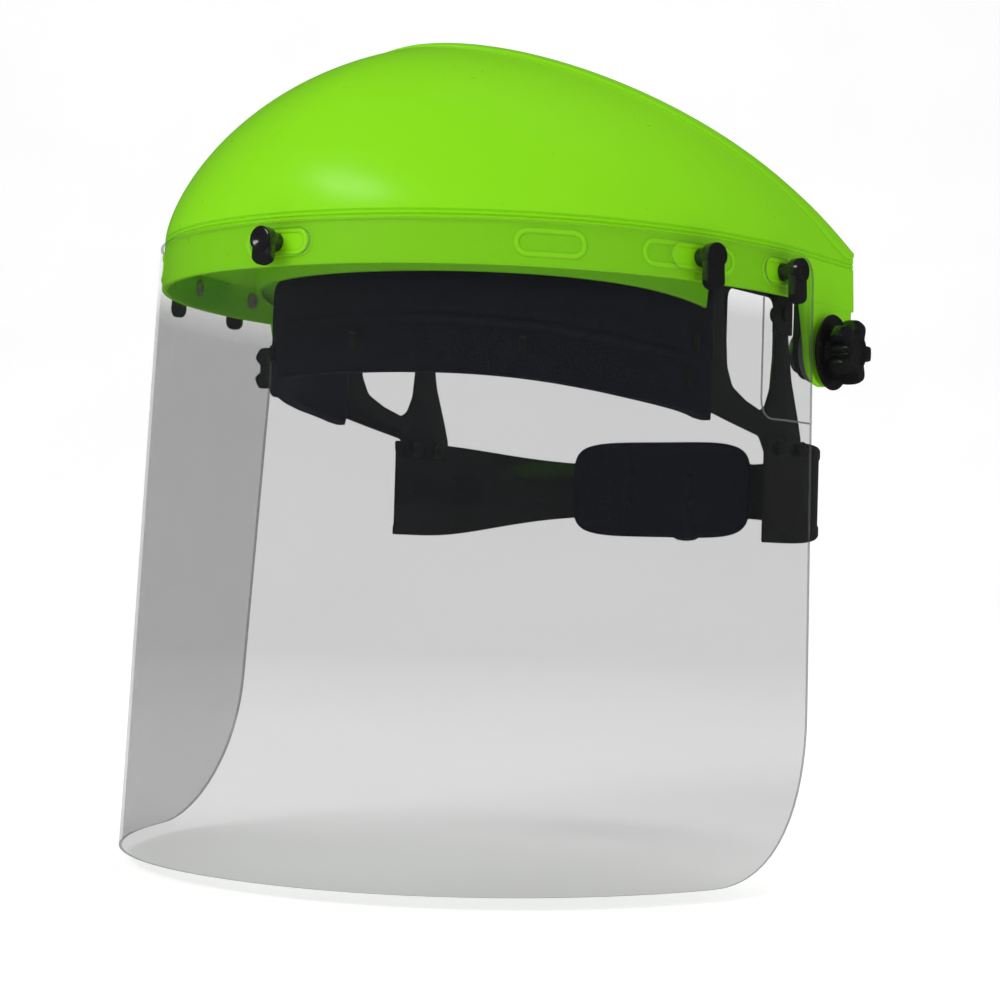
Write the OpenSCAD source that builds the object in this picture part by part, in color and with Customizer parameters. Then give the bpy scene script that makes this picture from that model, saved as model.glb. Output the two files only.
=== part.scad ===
// Browguard face shield: a tilting crown with a clear visor on a ratchet headband.
// +Z is up, -Y is the front, +X is the wearer's left. The origin lies midway between the two tilt pivots.
// Stations (y) are counted from the crown's widest point and levels (z) from its groove;
// placed() carries them to the pivots. Millimetres and degrees.

/* [Crown] */
// Half width of the crown at its widest point
crown_w = 114.5; // [113:0.5:116]
// Depth of the crown ahead of its widest point
crown_d = 137; // [135:0.5:139]
// Exponent of the crown's rounded plan
plan_n = 2.1; // [2:0.05:2.2]
// Height of the dome's highest arch over the groove
dome_h = 75.2; // [72:0.2:77]
// Wall of the crown
crown_t = 2; // [1.8:0.1:2.2]
// Height of the band that carries the visor
band_h = 17; // [16.5:0.5:18]
// Outward lean of the band and the visor for each mm of height
flare = 0.036; // [0.032:0.002:0.038]
// Radius of the ears' rounded ends
ear_r = 11.5; // [11:0.5:13]

/* [Visor] */
// Height of the visor sheet
visor_h = 203; // [150:1:205]
// Thickness of the visor sheet
visor_t = 1; // [0.8:0.1:1.5]
// Radius of the visor's lower corners
visor_corner = 52; // [30:1:60]

/* [Latches] */
// Diameter of a latch's shank
latch_d = 6; // [5.6:0.2:6.4]
// How far a latch stands out of the band
latch_out = 8.2; // [8:0.2:13]
// Length of a latch's tab below its shank
tab_l = 11; // [9:0.5:12]
// Diameter of the rivets that hold the latches
rivet_d = 4; // [3.6:0.2:4.2]

/* [Headband] */
// Half width of the headband, outside
band_w = 80; // [79:0.5:80.5]
// Depth of the headband ahead of the crown's widest point, outside
band_d = 95; // [93:0.5:95.5]
// Thickness of the headband
band_t = 1.6; // [1.4:0.1:1.8]
// Width of the two top straps
strap_w = 12.5; // [11:0.5:13]

/* [Tilt pivots] */
// Diameter of the pivot bolts
bolt_d = 6.35; // [6:0.05:6.5]
// Diameter of the knobs' star grips
star_d = 22; // [21:0.5:24]
// Diameter of the flanges behind the star grips
flange_d = 25.5; // [24:0.5:25.5]

/* [Ratchet] */
// Pitch radius of the pinion
pinion_r = 5; // [5:0.5:5]
// Teeth of the pinion
pinion_n = 10; // [10:1:10]
// Diameter of the ratchet knob
dial_d = 40; // [36:1:42]

/* [Hidden] */
$fn = 48;

run = 0.05;             // radial running clearance of a shaft in its hole
pivot_y = 13;           // station of the tilt pivots
pivot_z = -33;          // level of the tilt pivots
rim_y = 39.8;           // station where the rear rim meets the groove
rim_slope = 1 / 1.5;    // climb of the rear rim for each mm it runs forward
apex_y = 11;            // station of the dome's highest arch
shell_end = 87.6;       // angle at which the shell's rear ends stop, seen from the rim's corner line
shell_n = 28;           // stations on each side of the crown
dome_rows = 7;          // rows of the dome from the groove to the rim
lime = "#7bd122";
black = "#151517";
steel = "#8a8680";

// ---------- shared shapes ----------

module placed() translate([0, -pivot_y, -pivot_z]) children();

module both() {
    children();
    mirror([1, 0, 0]) children();
}

// Skins a chain of closed loops that all have the same number of points
module skin(loops) {
    m = len(loops);
    n = len(loops[0]);
    polyhedron(
        points = [for (l = loops) each l],
        faces = concat(
            [[for (i = [n - 1:-1:0]) i]],
            [[for (i = [0:n - 1]) (m - 1) * n + i]],
            [for (j = [0:m - 2], i = [0:n - 1]) let (k = (i + 1) % n)
                each [[j * n + i, j * n + k, (j + 1) * n + k], [j * n + i, (j + 1) * n + k, (j + 1) * n + i]]]
        )
    );
}

// A cylinder along X from x0 to x1
module bar_x(x0, x1, d) translate([x0, 0, 0]) rotate([0, 90, 0]) cylinder(h = x1 - x0, d = d);

// A cylinder along Y from y0 to y1
module bar_y(y0, y1, d) translate([0, y1, 0]) rotate([90, 0, 0]) cylinder(h = y1 - y0, d = d);

// A plate with round corners, w along X and h along Z, from y0 to y1
module rounded_plate(w, h, r, y0, y1) {
    translate([-w / 2 + r, y0, -h / 2]) cube([w - 2 * r, y1 - y0, h]);
    translate([-w / 2, y0, -h / 2 + r]) cube([w, y1 - y0, h - 2 * r]);
    for (sx = [-1, 1], sz = [-1, 1])
        translate([sx * (w / 2 - r), 0, sz * (h / 2 - r)]) bar_y(y0, y1, 2 * r);
}

// A polygon of [y, z] points standing from x0 to x1
module upright(x0, x1, points)
    translate([x0, 0, 0]) rotate([90, 0, 90]) linear_extrude(x1 - x0) polygon(points);

// ---------- crown ----------

// Half width of the crown's plan at station y, grown by g
function half_w(y, g) = y >= 0 ? crown_w + g
    : (crown_w + g) * pow(max(0, 1 - pow(-y / (crown_d + g), plan_n)), 1 / plan_n);

// Height of the dome's ridge at station y
function ridge(y, g) = let (back = crown_d + g + apex_y)
    y < apex_y ? (dome_h + g) * pow(max(0, 1 - pow((apex_y - y) / back, 2.2)), 1 / 2.2)
    : dome_h + g - 0.0125 * pow(y - apex_y, 2);

// Height of the dome over the groove
function dome_z(x, y, g) = let (w = half_w(y, g))
    abs(x) >= w ? 0 : ridge(y, g) * pow(1 - pow(abs(x) / w, 1.766), 1 / 1.54);

// Distance along the ray at angle a from the rim's corner line to the dome, in the plane that climbs by s
function reach(a, s, g, lo = 0, hi = 220, n = 20) = n == 0 ? lo
    : let (m = (lo + hi) / 2, over = dome_z(m * sin(a), rim_y - m * cos(a), g) > m * cos(a) * s)
      reach(a, s, g, over ? m : lo, over ? hi : m, n - 1);

// Point of the dome on that ray
function dome_point(a, s, g) = let (r = reach(a, s, g)) [r * sin(a), rim_y - r * cos(a), r * cos(a) * s];

// Point of the band's or the visor's wall at angle a and level z, grown by g
function wall_point(a, z, g) = let (r = reach(a, 0, g - flare * z)) [r * sin(a), rim_y - r * cos(a), z];

function shell_side(a, g) = concat(
    [wall_point(a, -band_h, g)],
    [for (j = [0:dome_rows]) dome_point(a, rim_slope * pow(j / dome_rows, 1.3), g)]
);

function reversed(v) = [for (i = [len(v) - 1:-1:0]) v[i]];

module crown_wall() skin([for (i = [-shell_n:shell_n]) let (a = shell_end * i / shell_n)
    concat(shell_side(a, 0), reversed(shell_side(a, -crown_t)))]);

// Point where the ray at angle a leaves the headband's plan grown by g
function hug_reach(a, g, lo = 0, hi = 200, n = 18) = n == 0 ? lo
    : let (m = (lo + hi) / 2, y = rim_y - m * cos(a), x = m * sin(a),
           in = pow(abs(x) / (band_w + g), 2) + pow(min(y, 0) / (band_d + g), 2) < 1)
      hug_reach(a, g, in ? m : lo, in ? hi : m, n - 1);
function hug_point(a, g, z) = let (r = hug_reach(a, g)) [r * sin(a), rim_y - r * cos(a), z];

guard_gap = 6;          // gap from the headband's outside to the brow guard
guard_n = 18;           // stations of the shell on each side that the brow guard spans
guard_end = shell_end * guard_n / shell_n;
function guard_z(a) = -14.5 - 5.5 * pow(abs(a) / guard_end, 4);

// Inner guard that closes the space between the crown and the headband
module brow_guard() skin([for (i = [-guard_n:guard_n]) let (a = shell_end * i / shell_n) [
    hug_point(a, guard_gap + crown_t, guard_z(a)),
    hug_point(a, guard_gap + crown_t + 1.5, -9),
    wall_point(a, -4.6, -crown_t / 2),
    wall_point(a, -2.6, -crown_t / 2),
    hug_point(a, guard_gap + 1.5, -7),
    hug_point(a, guard_gap, guard_z(a))
]]);

ear_back = 34.2;        // station of the ears' rear edge
module ear() {
    upright(crown_w - crown_t, crown_w + 0.5, [
        [-3.5, -band_h + 2], [ear_back, -band_h + 2], [ear_back, -band_h - 2],
        [pivot_y + ear_r * cos(15), pivot_z + ear_r * sin(15)], [pivot_y, pivot_z], [pivot_y - ear_r, pivot_z]
    ]);
    translate([0, pivot_y, pivot_z]) bar_x(crown_w - crown_t, crown_w + 0.5, 2 * ear_r);
}

module crown_shell() color(lime) placed() difference() {
    union() {
        crown_wall();
        brow_guard();
        both() ear();
    }
    for (l = LATCHES) at_latch(l) bar_x(-2 * crown_t, 3, rivet_d + 2 * run);
    both() translate([0, pivot_y, pivot_z]) bar_x(crown_w - 5, crown_w + 5, bolt_d + 2 * run);
}

// ---------- latches ----------

latch_z = -9.5;         // level of the latches
side_1 = -57;           // station of the front pair
side_2 = -17.5;         // station of the rear pair
// Each latch: side (1 left, -1 right, 0 centre), station, turn of its slot (1 or -1 along its tangent)
LATCHES = [[1, side_2, -1], [1, side_1, -1], [0, -crown_d, 1], [-1, side_1, 1], [-1, side_2, 1]];

// Direction in which the wall faces at a latch
function facing(l) = l[0] == 0 ? -90
    : let (x = half_w(l[1], 0), nx = pow(x / crown_w, plan_n - 1) / crown_w,
           ny = -pow(-l[1] / crown_d, plan_n - 1) / crown_d)
      l[0] > 0 ? atan2(ny, nx) : atan2(ny, -nx);

// Carries a shape drawn with X outward and Z up to a latch's place on the band
module at_latch(l) {
    g = -flare * latch_z;
    x = l[0] * half_w(l[1], g);
    y = l[0] == 0 ? -crown_d - g : l[1];
    translate([x, y, latch_z]) rotate([0, 0, facing(l)]) rotate([0, -atan(flare), 0]) children();
}

// A twist latch: shank, round head and hanging tab; the centre one has a shorter tab
module latch(l) color(black) placed() at_latch(l) difference() {
    tab_w = latch_d + 1.4;
    drop = l[0] == 0 ? tab_l - 3 : tab_l;
    union() {
        bar_x(0.1, latch_out - 4, latch_d);
        bar_x(latch_out - 4.2, latch_out, tab_w + 0.8);
        translate([latch_out - 4.2, -tab_w / 2, -drop + tab_w / 2]) cube([3.4, tab_w, drop - tab_w / 2]);
        translate([0, 0, -drop + tab_w / 2]) bar_x(latch_out - 4.2, latch_out - 0.8, tab_w);
    }
    bar_x(-1, 7, rivet_d + 2 * run);
}

// Tubular rivets: a hollow head inside the band and a shank inside each latch
module latch_rivets() color(steel) placed() for (l = LATCHES) at_latch(l) difference() {
    union() {
        bar_x(-crown_t - 1.4, -crown_t - 0.3, rivet_d + 2.2);
        bar_x(-crown_t - 1.4, 6.8, rivet_d);
    }
    bar_x(-crown_t - 2, 3, 1.8);
}

// ---------- visor ----------

visor_gap = 0.35;       // gap from the band to the visor
visor_top = -3;         // level of the visor's top edge
rear_top = 71.85;       // angle of the visor's rear edge at its top
rear_foot = 68.7;       // angle of the visor's rear edge at its foot
half_arc = 197;         // half the visor's length round the wall
top_corner = 8;         // radius of the visor's upper corners

// Distances from the visor's rear edge to the stations of its rounded corner
CORNER = [for (b = [0:15:75]) visor_corner * (1 - cos(b))];
mid_f = 1 - visor_corner / half_arc;
VISOR_F = concat(
    [for (d = CORNER) d / half_arc - 1],
    [for (i = [-10:10]) mid_f * i / 10],
    reversed([for (d = CORNER) 1 - d / half_arc])
);
function round_off(d, r) = d >= r ? 0 : r - sqrt(r * r - pow(r - d, 2));
function between(p, q, t) = p + (q - p) * t;
function visor_line(f, g) = let (
        d = (1 - abs(f)) * half_arc,
        top = wall_point(rear_top * f, visor_top, g),
        foot = wall_point(rear_foot * f, visor_top - visor_h, g)
    ) [
        between(top, foot, 1 - round_off(d, visor_corner) / visor_h),
        between(top, foot, round_off(d, top_corner) / visor_h)
    ];

// Slot that a latch's tab passes through when it is turned level
module latch_slot(l) {
    w = latch_d + 2.6;
    far = l[2] * (tab_l + 1 - w / 2);
    bar_x(-1, 4, w);
    translate([0, far, 0]) bar_x(-1, 4, w);
    translate([-1, min(0, far), -w / 2]) cube([5, abs(far), w]);
}

module visor() color([0.8, 0.82, 0.84, 0.35]) placed() difference() {
    skin([for (f = VISOR_F) concat(visor_line(f, visor_gap + visor_t), reversed(visor_line(f, visor_gap)))]);
    for (l = LATCHES) at_latch(l) latch_slot(l);
}

// ---------- headband ----------

band_top = -12;         // level of the headband's top edge at the brow
plate_top = -3.5;       // level of the side plates' top edge
arm_x = 107.5;          // inner face of the pivot arms
arm_t = 2.5;            // thickness of the pivot arms
arm_w = 18;             // width of the pivot arms
SWEEP = [for (i = [-16:16]) 88 * i / 16];
function brow_foot(t) = -46 - 8 * pow(sin(t), 4) - 2.5 * pow(abs(t) / 88, 16);
function brow(t, g, z) = [(band_w + g) * sin(t), -(band_d + g) * cos(t), z];

// Outline of a side plate and of its window, as [y, z]
PLATE = [[-14, plate_top], [55, plate_top], [55.5, -22], [59, -38], [65, -52], [68, -60], [66, -66],
    [42, -66], [37, -59.5], [15, -56], [-14, -51]];
WINDOW = [[9, -9.5], [45.6, -9.5], [45.6, -30], [44, -42], [40.5, -48.5], [36, -50.5], [24, -47.5],
    [14, -43.5], [10, -37], [9, -28]];

// Pegs that hold the sweatband, as [angle round the brow, level]
PEGS = [[0, -36], [39, -37], [-39, -37], [81, -30.5], [-81, -30.5], [79, -43.5], [-79, -43.5]];

module headband() color(black) placed() difference() {
    union() {
        skin([for (t = SWEEP) [brow(t, 0, brow_foot(t) + 2.8), brow(t, 0, band_top),
            brow(t, -band_t, band_top), brow(t, -band_t, brow_foot(t) + 2.8)]]);
        both() {
            difference() {
                upright(band_w - band_t, band_w, PLATE);
                upright(band_w - 2 * band_t, band_w + band_t, WINDOW);
            }
            translate([band_w - 0.5, pivot_y - arm_w / 2, plate_top - arm_t])
                cube([arm_x + arm_t - band_w + 0.5, arm_w, arm_t]);
            translate([arm_x, pivot_y - arm_w / 2, pivot_z])
                cube([arm_t, arm_w, plate_top - pivot_z]);
            translate([0, pivot_y, pivot_z]) bar_x(arm_x, arm_x + arm_t, arm_w);
        }
        for (p = PEGS) translate(brow(p[0], 0, p[1])) rotate([0, 0, p[0] - 90])
            translate([-0.8, -1.2, -3]) cube([4.2, 2.4, 6]);
    }
    both() translate([0, pivot_y, pivot_z]) bar_x(arm_x - 2, arm_x + 5, bolt_d + 2 * run);
    both() for (p = STRAP_RIVETS) translate([0, p[0], p[1]]) bar_x(band_w - 5, band_w + 5, 3);
    both() for (z = TOP_RIVETS) translate([0, strap_y, z]) bar_x(band_w - 5, band_w + 5, 3);
}

pad_t = 4.2;            // thickness of the sweatband's inner pad
skin_t = 1.8;           // thickness of the sweatband's outer layer

// Sweatband folded round the headband's lower edge
module sweatband() color("#10172b") placed() skin([for (t = SWEEP) let (foot = brow_foot(t), far = 0.2) [
    brow(t, far + skin_t, foot), brow(t, far + skin_t, band_top - 0.5),
    brow(t, far, band_top - 0.5), brow(t, far, foot + 2.6),
    brow(t, -band_t - far, foot + 2.6), brow(t, -band_t - far, band_top - 0.5),
    brow(t, -band_t - far - pad_t, band_top - 0.5), brow(t, -band_t - far - pad_t, foot)
]]);

// ---------- top straps ----------

arch_h = 66;            // rise of the top straps over the level of their sides
arch_z = -10;           // level from which the top straps arch
strap_t = 1.6;          // thickness of the top straps
strap_y = 48.5;         // station of the top straps' middle
TOP_RIVETS = [-15];
PIN_A = [6, 14];        // angles of the two snap pins, from the crown of the head

// Point of the arch at angle t from the top, grown by g
function arch(t, g) = [(band_w + g) * sign(sin(t)) * pow(abs(sin(t)), 2 / 2.4),
    arch_z + (arch_h + g) * pow(max(0, cos(t)), 2 / 2.4)];

// Growth of a strap: the upper strap climbs over the lower one near the top
function lift(t, upper) = 0.15 + (upper ? (strap_t + 0.1) * min(1, max(0, (50 - abs(t)) / 20)) : 0);

// A strap from its side at 90 degrees past the top to -22 degrees, then straight down its side
module top_strap(upper) skin(concat(
    [strap_loop([band_w + 0.15, arch_z - 12], [band_w + 0.15 + strap_t, arch_z - 12])],
    [for (i = [0:20]) let (t = 90 - 112 * i / 20)
        strap_loop(arch(t, lift(t, upper)), arch(t, lift(t, upper) + strap_t))]
));
function strap_loop(p, q) = [[q[0], strap_y - strap_w / 2, q[1]], [q[0], strap_y + strap_w / 2, q[1]],
    [p[0], strap_y + strap_w / 2, p[1]], [p[0], strap_y - strap_w / 2, p[1]]];

module pin_holes() for (s = [-1, 1], t = PIN_A) translate([0, strap_y, arch(s * t, 0)[1]])
    translate([arch(s * t, 0)[0], 0, -6]) cylinder(h = 14, d = 4);

module top_strap_left() color(black) placed() difference() {
    top_strap(true);
    pin_holes();
    for (z = TOP_RIVETS) translate([0, strap_y, z]) bar_x(band_w - 5, band_w + 5, 3);
}
module top_strap_right() color(black) placed() difference() {
    mirror([1, 0, 0]) top_strap(false);
    pin_holes();
    mirror([1, 0, 0]) for (z = TOP_RIVETS) translate([0, strap_y, z]) bar_x(band_w - 5, band_w + 5, 3);
}

// Two snap pins at the top, and a rivet where each strap meets its side plate
module strap_pins() color(black) placed() {
    for (t = PIN_A) translate([arch(t, 0)[0], strap_y, arch(t, 0)[1]]) {
        translate([0, 0, -2.2]) cylinder(h = 7.2, d = 3.9);
        translate([0, 0, 4.1]) cylinder(h = 1.4, d = 7);
    }
    both() for (z = TOP_RIVETS) translate([0, strap_y, z]) {
        bar_x(band_w - band_t - 1.2, band_w - band_t - 0.05, 5.5);
        bar_x(band_w - band_t - 1.2, band_w + strap_t + 0.6, 2.9);
        bar_x(band_w + strap_t + 0.3, band_w + strap_t + 1.6, 6);
    }
}

// ---------- tilt pivots ----------

washer_t = 2.4;         // thickness of the friction washers
washer_x = arm_x + arm_t;
ear_x = crown_w + 0.5;  // outer face of the ears
hub_x = ear_x + 0.1;    // inner face of the cup washers
disc_x = ear_x + 2.5;   // inner face of the cup washers' flanges
disc_t = 1.4;           // thickness of the flanges
knob_x = disc_x + disc_t + 0.1;
knob_l = 9;             // length of the star grips

module pivot_bolt() color(steel) {
    bar_x(arm_x - 2.6, arm_x - 0.02, 13);
    bar_x(arm_x - 2.6, knob_x + knob_l - 4, bolt_d);
}
module friction_washer() color("#4a4a4c") difference() {
    bar_x(washer_x + 0.02, washer_x + washer_t, 20);
    bar_x(washer_x - 1, washer_x + washer_t + 1, bolt_d + 2 * run);
}
module cup_washer() color(black) difference() {
    union() {
        bar_x(hub_x, disc_x + disc_t, 14);
        bar_x(disc_x, disc_x + disc_t, flange_d);
    }
    bar_x(hub_x - 1, disc_x + disc_t + 1, bolt_d + 2 * run);
}

insert_d = 9;           // outer diameter of the threaded inserts
lobes = 5;              // lobes of a star grip

module tension_knob() color(black) difference() {
    union() {
        bar_x(knob_x, knob_x + knob_l, star_d * 0.6);
        bar_x(knob_x, knob_x + 3, star_d * 0.86);
        for (i = [0:lobes - 1]) rotate([i * 360 / lobes, 0, 0]) {
            translate([0, 0, star_d / 2 - 3.4]) bar_x(knob_x + 2, knob_x + knob_l, 6.8);
            translate([knob_x + 2, -3, 0]) cube([knob_l - 2, 6, star_d / 2 - 3.4]);
        }
    }
    bar_x(knob_x - 1, knob_x + knob_l - 3, insert_d);
}
module knob_insert() color("#b08d4a") difference() {
    bar_x(knob_x + 0.2, knob_x + knob_l - 3.2, insert_d);
    bar_x(knob_x - 1, knob_x + knob_l - 2, bolt_d + 2 * run);
}

module pivot_bolt_left() pivot_bolt();
module pivot_bolt_right() mirror([1, 0, 0]) pivot_bolt();
module friction_washer_left() friction_washer();
module friction_washer_right() mirror([1, 0, 0]) friction_washer();
module cup_washer_left() cup_washer();
module cup_washer_right() mirror([1, 0, 0]) cup_washer();
module tension_knob_left() tension_knob();
module tension_knob_right() mirror([1, 0, 0]) tension_knob();
module knob_insert_left() knob_insert();
module knob_insert_right() mirror([1, 0, 0]) knob_insert();

// ---------- rear straps and ratchet ----------

rear_w = 82.4;          // half width of the rear straps' plan, outside
rear_y = 50;            // station from which the rear straps curve
rear_d = 65;            // depth of their curve
flat_y = 113.5;         // station of the flat stretch inside the ratchet, outside
rear_t = 1.8;           // thickness of the rear straps
strap_front = 37;       // station of the rear straps' front ends
strap_turn = 76.3;      // angle at which their curve meets the flat stretch
ratchet_z = -76;        // level of the pinion
rack_half = 28;         // reach of each rack past the middle
pitch = 2 * PI * pinion_r / pinion_n;
tooth_h = 1.8;          // height of a rack tooth
channel_h = 22;         // height of the ratchet's channel
STRAP_RIVETS = [[46, -63], [61, -63]];

function rear_plan(t, g) = [(rear_w + g) * pow(cos(t), 2 / 3.3),
    min(flat_y + g, rear_y + (rear_d + g) * pow(sin(t), 2 / 3.3))];
function rear_top_z(t) = -60 - 6 * pow(sin(t), 2);
function rear_foot_z(t) = -97 + 10.5 * pow(sin(t), 1.5);

// Side stretch of a rear strap, from the side plate to the ratchet
module strap_side() skin(concat(
    [strap_side_loop([rear_w, strap_front], [rear_w - rear_t, strap_front], 0)],
    [for (i = [0:16]) let (t = strap_turn * pow(i / 16, 1.6))
        strap_side_loop(rear_plan(t, 0), rear_plan(t, -rear_t), t)]
));
function strap_side_loop(p, q, t) = [[p[0], p[1], rear_foot_z(t)], [p[0], p[1], rear_top_z(t)],
    [q[0], q[1], rear_top_z(t)], [q[0], q[1], rear_foot_z(t)]];

// Rack: a bar above the pinion with teeth that point down
module rack() {
    root_z = pinion_r + tooth_h / 2 + 0.15;
    translate([-rack_half, flat_y - rear_t, ratchet_z + root_z])
        cube([rack_half + 36, rear_t, channel_h / 2 - root_z - 0.3]);
    for (i = [-8:8]) translate([pitch * i, flat_y, ratchet_z + root_z]) rotate([90, 0, 0])
        linear_extrude(rear_t) polygon([[-1.05, 0.2], [-0.25, -tooth_h], [0.25, -tooth_h], [1.05, 0.2]]);
}

module rear_strap_left() color(black) placed() difference() {
    union() {
        strap_side();
        rack();
    }
    for (p = STRAP_RIVETS) translate([0, p[0], p[1]]) bar_x(band_w - 5, band_w + 5, 3);
}

module rear_strap_right() color(black) placed() difference() {
    union() {
        mirror([1, 0, 0]) strap_side();
        translate([0, 0, 2 * ratchet_z]) mirror([0, 0, 1]) mirror([1, 0, 0]) rack();
    }
    mirror([1, 0, 0]) for (p = STRAP_RIVETS) translate([0, p[0], p[1]]) bar_x(band_w - 5, band_w + 5, 3);
}

module rear_strap_rivets() color(black) placed() both() for (p = STRAP_RIVETS) translate([0, p[0], p[1]]) {
    bar_x(band_w - band_t - 1.2, band_w - band_t - 0.05, 5.5);
    bar_x(band_w - band_t - 1.2, rear_w + 0.8, 2.9);
    bar_x(rear_w + 0.4, rear_w + 1.8, 6);
}

housing_w = 64;         // width of the ratchet housing
housing_h = 33;         // height of the ratchet housing
channel_y = flat_y - rear_t - 0.3;
cover_y = flat_y + 0.3; // station of the cover's inner face
cover_t = 3;            // thickness of the cover
screw_x = 27;
screw_z = 13.6;
shaft_d = 6;            // diameter of the pinion's shaft
ring_d = 32;            // outer diameter of the detent ring
ring_y = cover_y + cover_t;
dial_y = ring_y + 3.6;  // inner face of the ratchet knob
dial_l = 13;            // depth of the ratchet knob

module at_ratchet() placed() translate([0, 0, ratchet_z]) children();
module at_screws() for (sx = [-1, 1], sz = [-1, 1]) translate([sx * screw_x, 0, sz * screw_z]) children();

module ratchet_housing() color(black) at_ratchet() difference() {
    rounded_plate(housing_w, housing_h, 7, channel_y - 3.4, cover_y);
    translate([-housing_w, channel_y, -channel_h / 2]) cube([2 * housing_w, 10, channel_h]);
    at_screws() bar_y(channel_y - 2, cover_y + 1, 2.6);
}

module ratchet_cover() color(black) at_ratchet() difference() {
    union() {
        rounded_plate(housing_w, housing_h, 7, cover_y + 0.05, cover_y + cover_t);
        bar_y(cover_y + 1, ring_y + 3.2, ring_d + 3);
    }
    bar_y(ring_y, ring_y + 5, ring_d);
    bar_y(cover_y - 1, ring_y + 1, shaft_d + 2 * run);
    at_screws() bar_y(cover_y - 1, ring_y + 1, 3.1);
}

module housing_screws() color(steel) at_ratchet() at_screws() {
    bar_y(channel_y - 1.8, ring_y + 0.2, 2.5);
    bar_y(ring_y + 0.05, ring_y + 1.6, 5.4);
}

detents = 24;           // notches of the detent ring
module detent_ring() color("#2a2a2c") at_ratchet() difference() {
    bar_y(ring_y + 0.05, ring_y + 3, ring_d - 0.02);
    bar_y(ring_y - 1, ring_y + 4, ring_d - 5);
    for (i = [0:detents - 1]) rotate([0, i * 360 / detents, 0])
        translate([ring_d / 2 - 2.5, 0, 0]) bar_y(ring_y - 1, ring_y + 4, 1.9);
}

module pinion() color("#d8d6cc") at_ratchet() {
    bar_y(channel_y + 0.15, cover_y - 0.1, 2 * pinion_r - 2.1);
    for (i = [0:pinion_n - 1]) rotate([0, (i + 0.5) * 360 / pinion_n, 0])
        translate([0, cover_y - 0.1, 0]) rotate([90, 0, 0]) linear_extrude(cover_y - channel_y - 0.25)
            polygon([[-1.15, pinion_r - 1.6], [-0.35, pinion_r + 0.8], [0.35, pinion_r + 0.8], [1.15, pinion_r - 1.6]]);
    bar_y(channel_y + 0.15, dial_y + 6, shaft_d);
}

// Spring disc whose two curved arms click over the notches
module pawl_spring() color("#5a5a5c") at_ratchet() difference() {
    union() {
        bar_y(ring_y + 0.4, ring_y + 2.6, 12);
        for (s = [0, 180]) rotate([0, s, 0]) {
            translate([3, ring_y + 0.4, -1.3]) cube([8.6, 2.2, 2.6]);
            translate([11.6, 0, 0]) bar_y(ring_y + 0.4, ring_y + 2.6, 2.8);
        }
    }
    bar_y(ring_y - 1, ring_y + 4, shaft_d);
}

flutes = 12;            // finger flutes round the ratchet knob
module ratchet_knob() color(black) at_ratchet() difference() {
    union() {
        bar_y(dial_y, dial_y + dial_l, dial_d - 1.6);
        for (i = [0:flutes - 1]) rotate([0, i * 360 / flutes, 0])
            translate([dial_d / 2 - 2.6, 0, 0]) bar_y(dial_y, dial_y + dial_l - 1, 5.2);
    }
    bar_y(dial_y - 1, dial_y + 6, shaft_d);
    bar_y(dial_y + 5, dial_y + dial_l + 1, 3);
    bar_y(dial_y + dial_l - 2.6, dial_y + dial_l + 1, 7.2);
}

module dial_screw() color(steel) at_ratchet() {
    bar_y(dial_y + 6.05, dial_y + dial_l - 2.5, 2.9);
    bar_y(dial_y + dial_l - 2.58, dial_y + dial_l - 0.8, 6.6);
}

// Foam pad between the ratchet and the nape
module nape_pad() color("#10172b") at_ratchet() difference() {
    rounded_plate(80, 38, 9, channel_y - 9.2, channel_y - 3.5);
    translate([0, channel_y - 150, 0]) cylinder(h = 60, r = 142, center = true, $fn = 96);
}

crown_shell();
visor();
latch_rivets();
latch(LATCHES[0]);  // latch_left_rear
latch(LATCHES[1]);  // latch_left_front
latch(LATCHES[2]);  // latch_centre
latch(LATCHES[3]);  // latch_right_front
latch(LATCHES[4]);  // latch_right_rear
headband();
sweatband();
top_strap_left();
top_strap_right();
strap_pins();
pivot_bolt_left();
pivot_bolt_right();
friction_washer_left();
friction_washer_right();
cup_washer_left();
cup_washer_right();
tension_knob_left();
tension_knob_right();
knob_insert_left();
knob_insert_right();
rear_strap_left();
rear_strap_right();
rear_strap_rivets();
ratchet_housing();
ratchet_cover();
nape_pad();
housing_screws();
detent_ring();
pinion();
pawl_spring();
ratchet_knob();
dial_screw();
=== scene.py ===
"""Looks of the browguard face shield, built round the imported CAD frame.

Shapes are worked out in mm, counted from the crown's widest point and its groove, and carried() turns a point
into metres of the frame.
"""

import bisect
import math

import bmesh
import bpy
from mathutils import Matrix, Vector, noise
from mathutils.geometry import delaunay_2d_cdt


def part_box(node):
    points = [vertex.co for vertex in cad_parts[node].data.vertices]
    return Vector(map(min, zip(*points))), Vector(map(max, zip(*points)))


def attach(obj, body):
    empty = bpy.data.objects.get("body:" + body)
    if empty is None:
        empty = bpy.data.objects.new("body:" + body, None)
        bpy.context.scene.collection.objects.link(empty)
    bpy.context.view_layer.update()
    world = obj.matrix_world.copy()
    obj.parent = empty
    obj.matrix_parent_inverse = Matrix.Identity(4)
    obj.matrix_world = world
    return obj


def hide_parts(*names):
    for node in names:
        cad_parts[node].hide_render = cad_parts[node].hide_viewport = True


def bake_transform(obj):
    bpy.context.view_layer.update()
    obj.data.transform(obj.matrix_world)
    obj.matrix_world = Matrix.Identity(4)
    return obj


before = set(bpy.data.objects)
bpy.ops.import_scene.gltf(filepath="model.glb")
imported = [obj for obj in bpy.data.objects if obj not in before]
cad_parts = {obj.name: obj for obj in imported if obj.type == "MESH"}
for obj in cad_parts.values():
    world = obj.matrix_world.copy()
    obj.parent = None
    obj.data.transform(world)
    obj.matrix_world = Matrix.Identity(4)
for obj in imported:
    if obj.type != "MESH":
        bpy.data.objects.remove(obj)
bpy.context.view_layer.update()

MM = 0.001
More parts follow.
